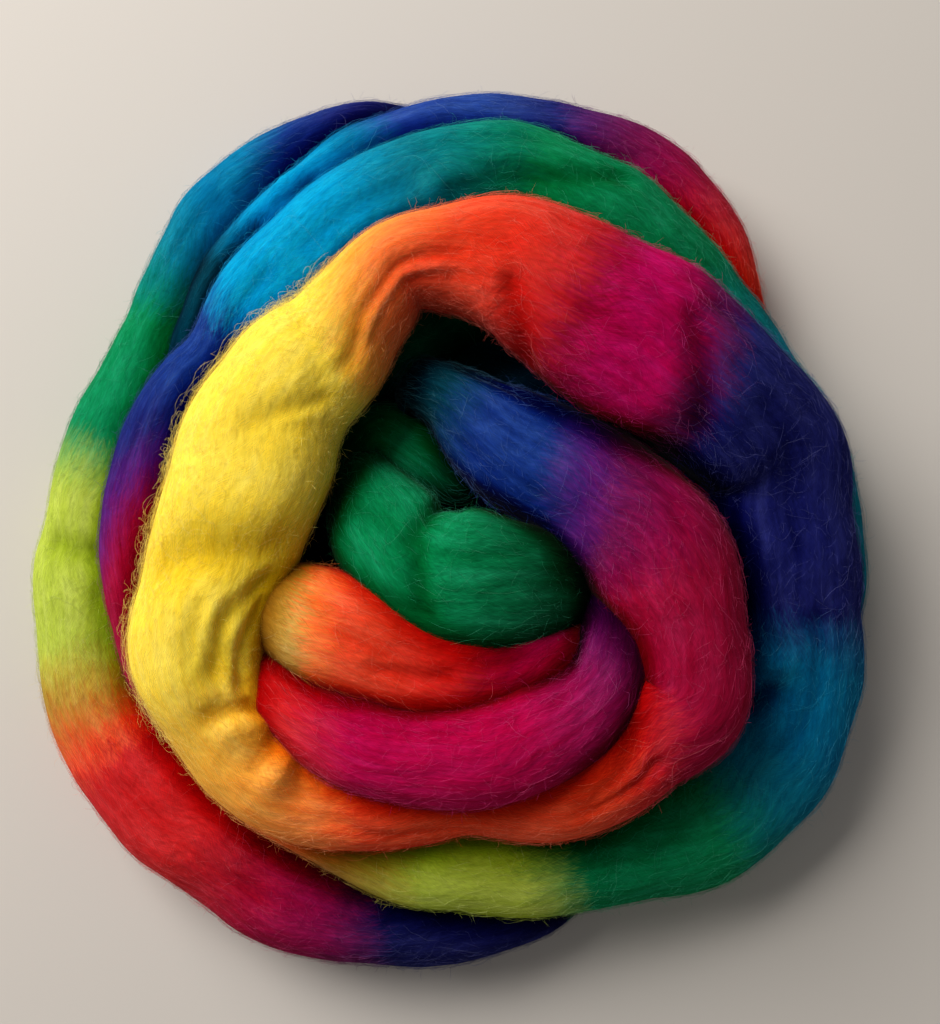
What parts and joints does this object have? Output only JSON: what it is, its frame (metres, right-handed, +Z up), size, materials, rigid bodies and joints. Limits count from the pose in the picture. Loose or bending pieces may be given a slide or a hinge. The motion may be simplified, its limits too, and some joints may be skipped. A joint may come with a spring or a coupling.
{
  "type": "wool roving",
  "caption": "Thick combed strand of dyed wool fibre, coiled into a loose round heap for felting and spinning.",
  "frame": {"origin": "on the table, under the middle of the heap", "axes": "+Z up from the table, +Y to the back of the heap, +X to its right; the strand winds clockwise seen from above"},
  "size_m": [0.2983, 0.3142, 0.0909],
  "materials": {
    "wool": "soft matt wool, dyed in long bands from yellow through red, purple, blue and green"
  },
  "bodies": {
    "root": {"wool_roving": "wool"}
  },
  "joints": []
}
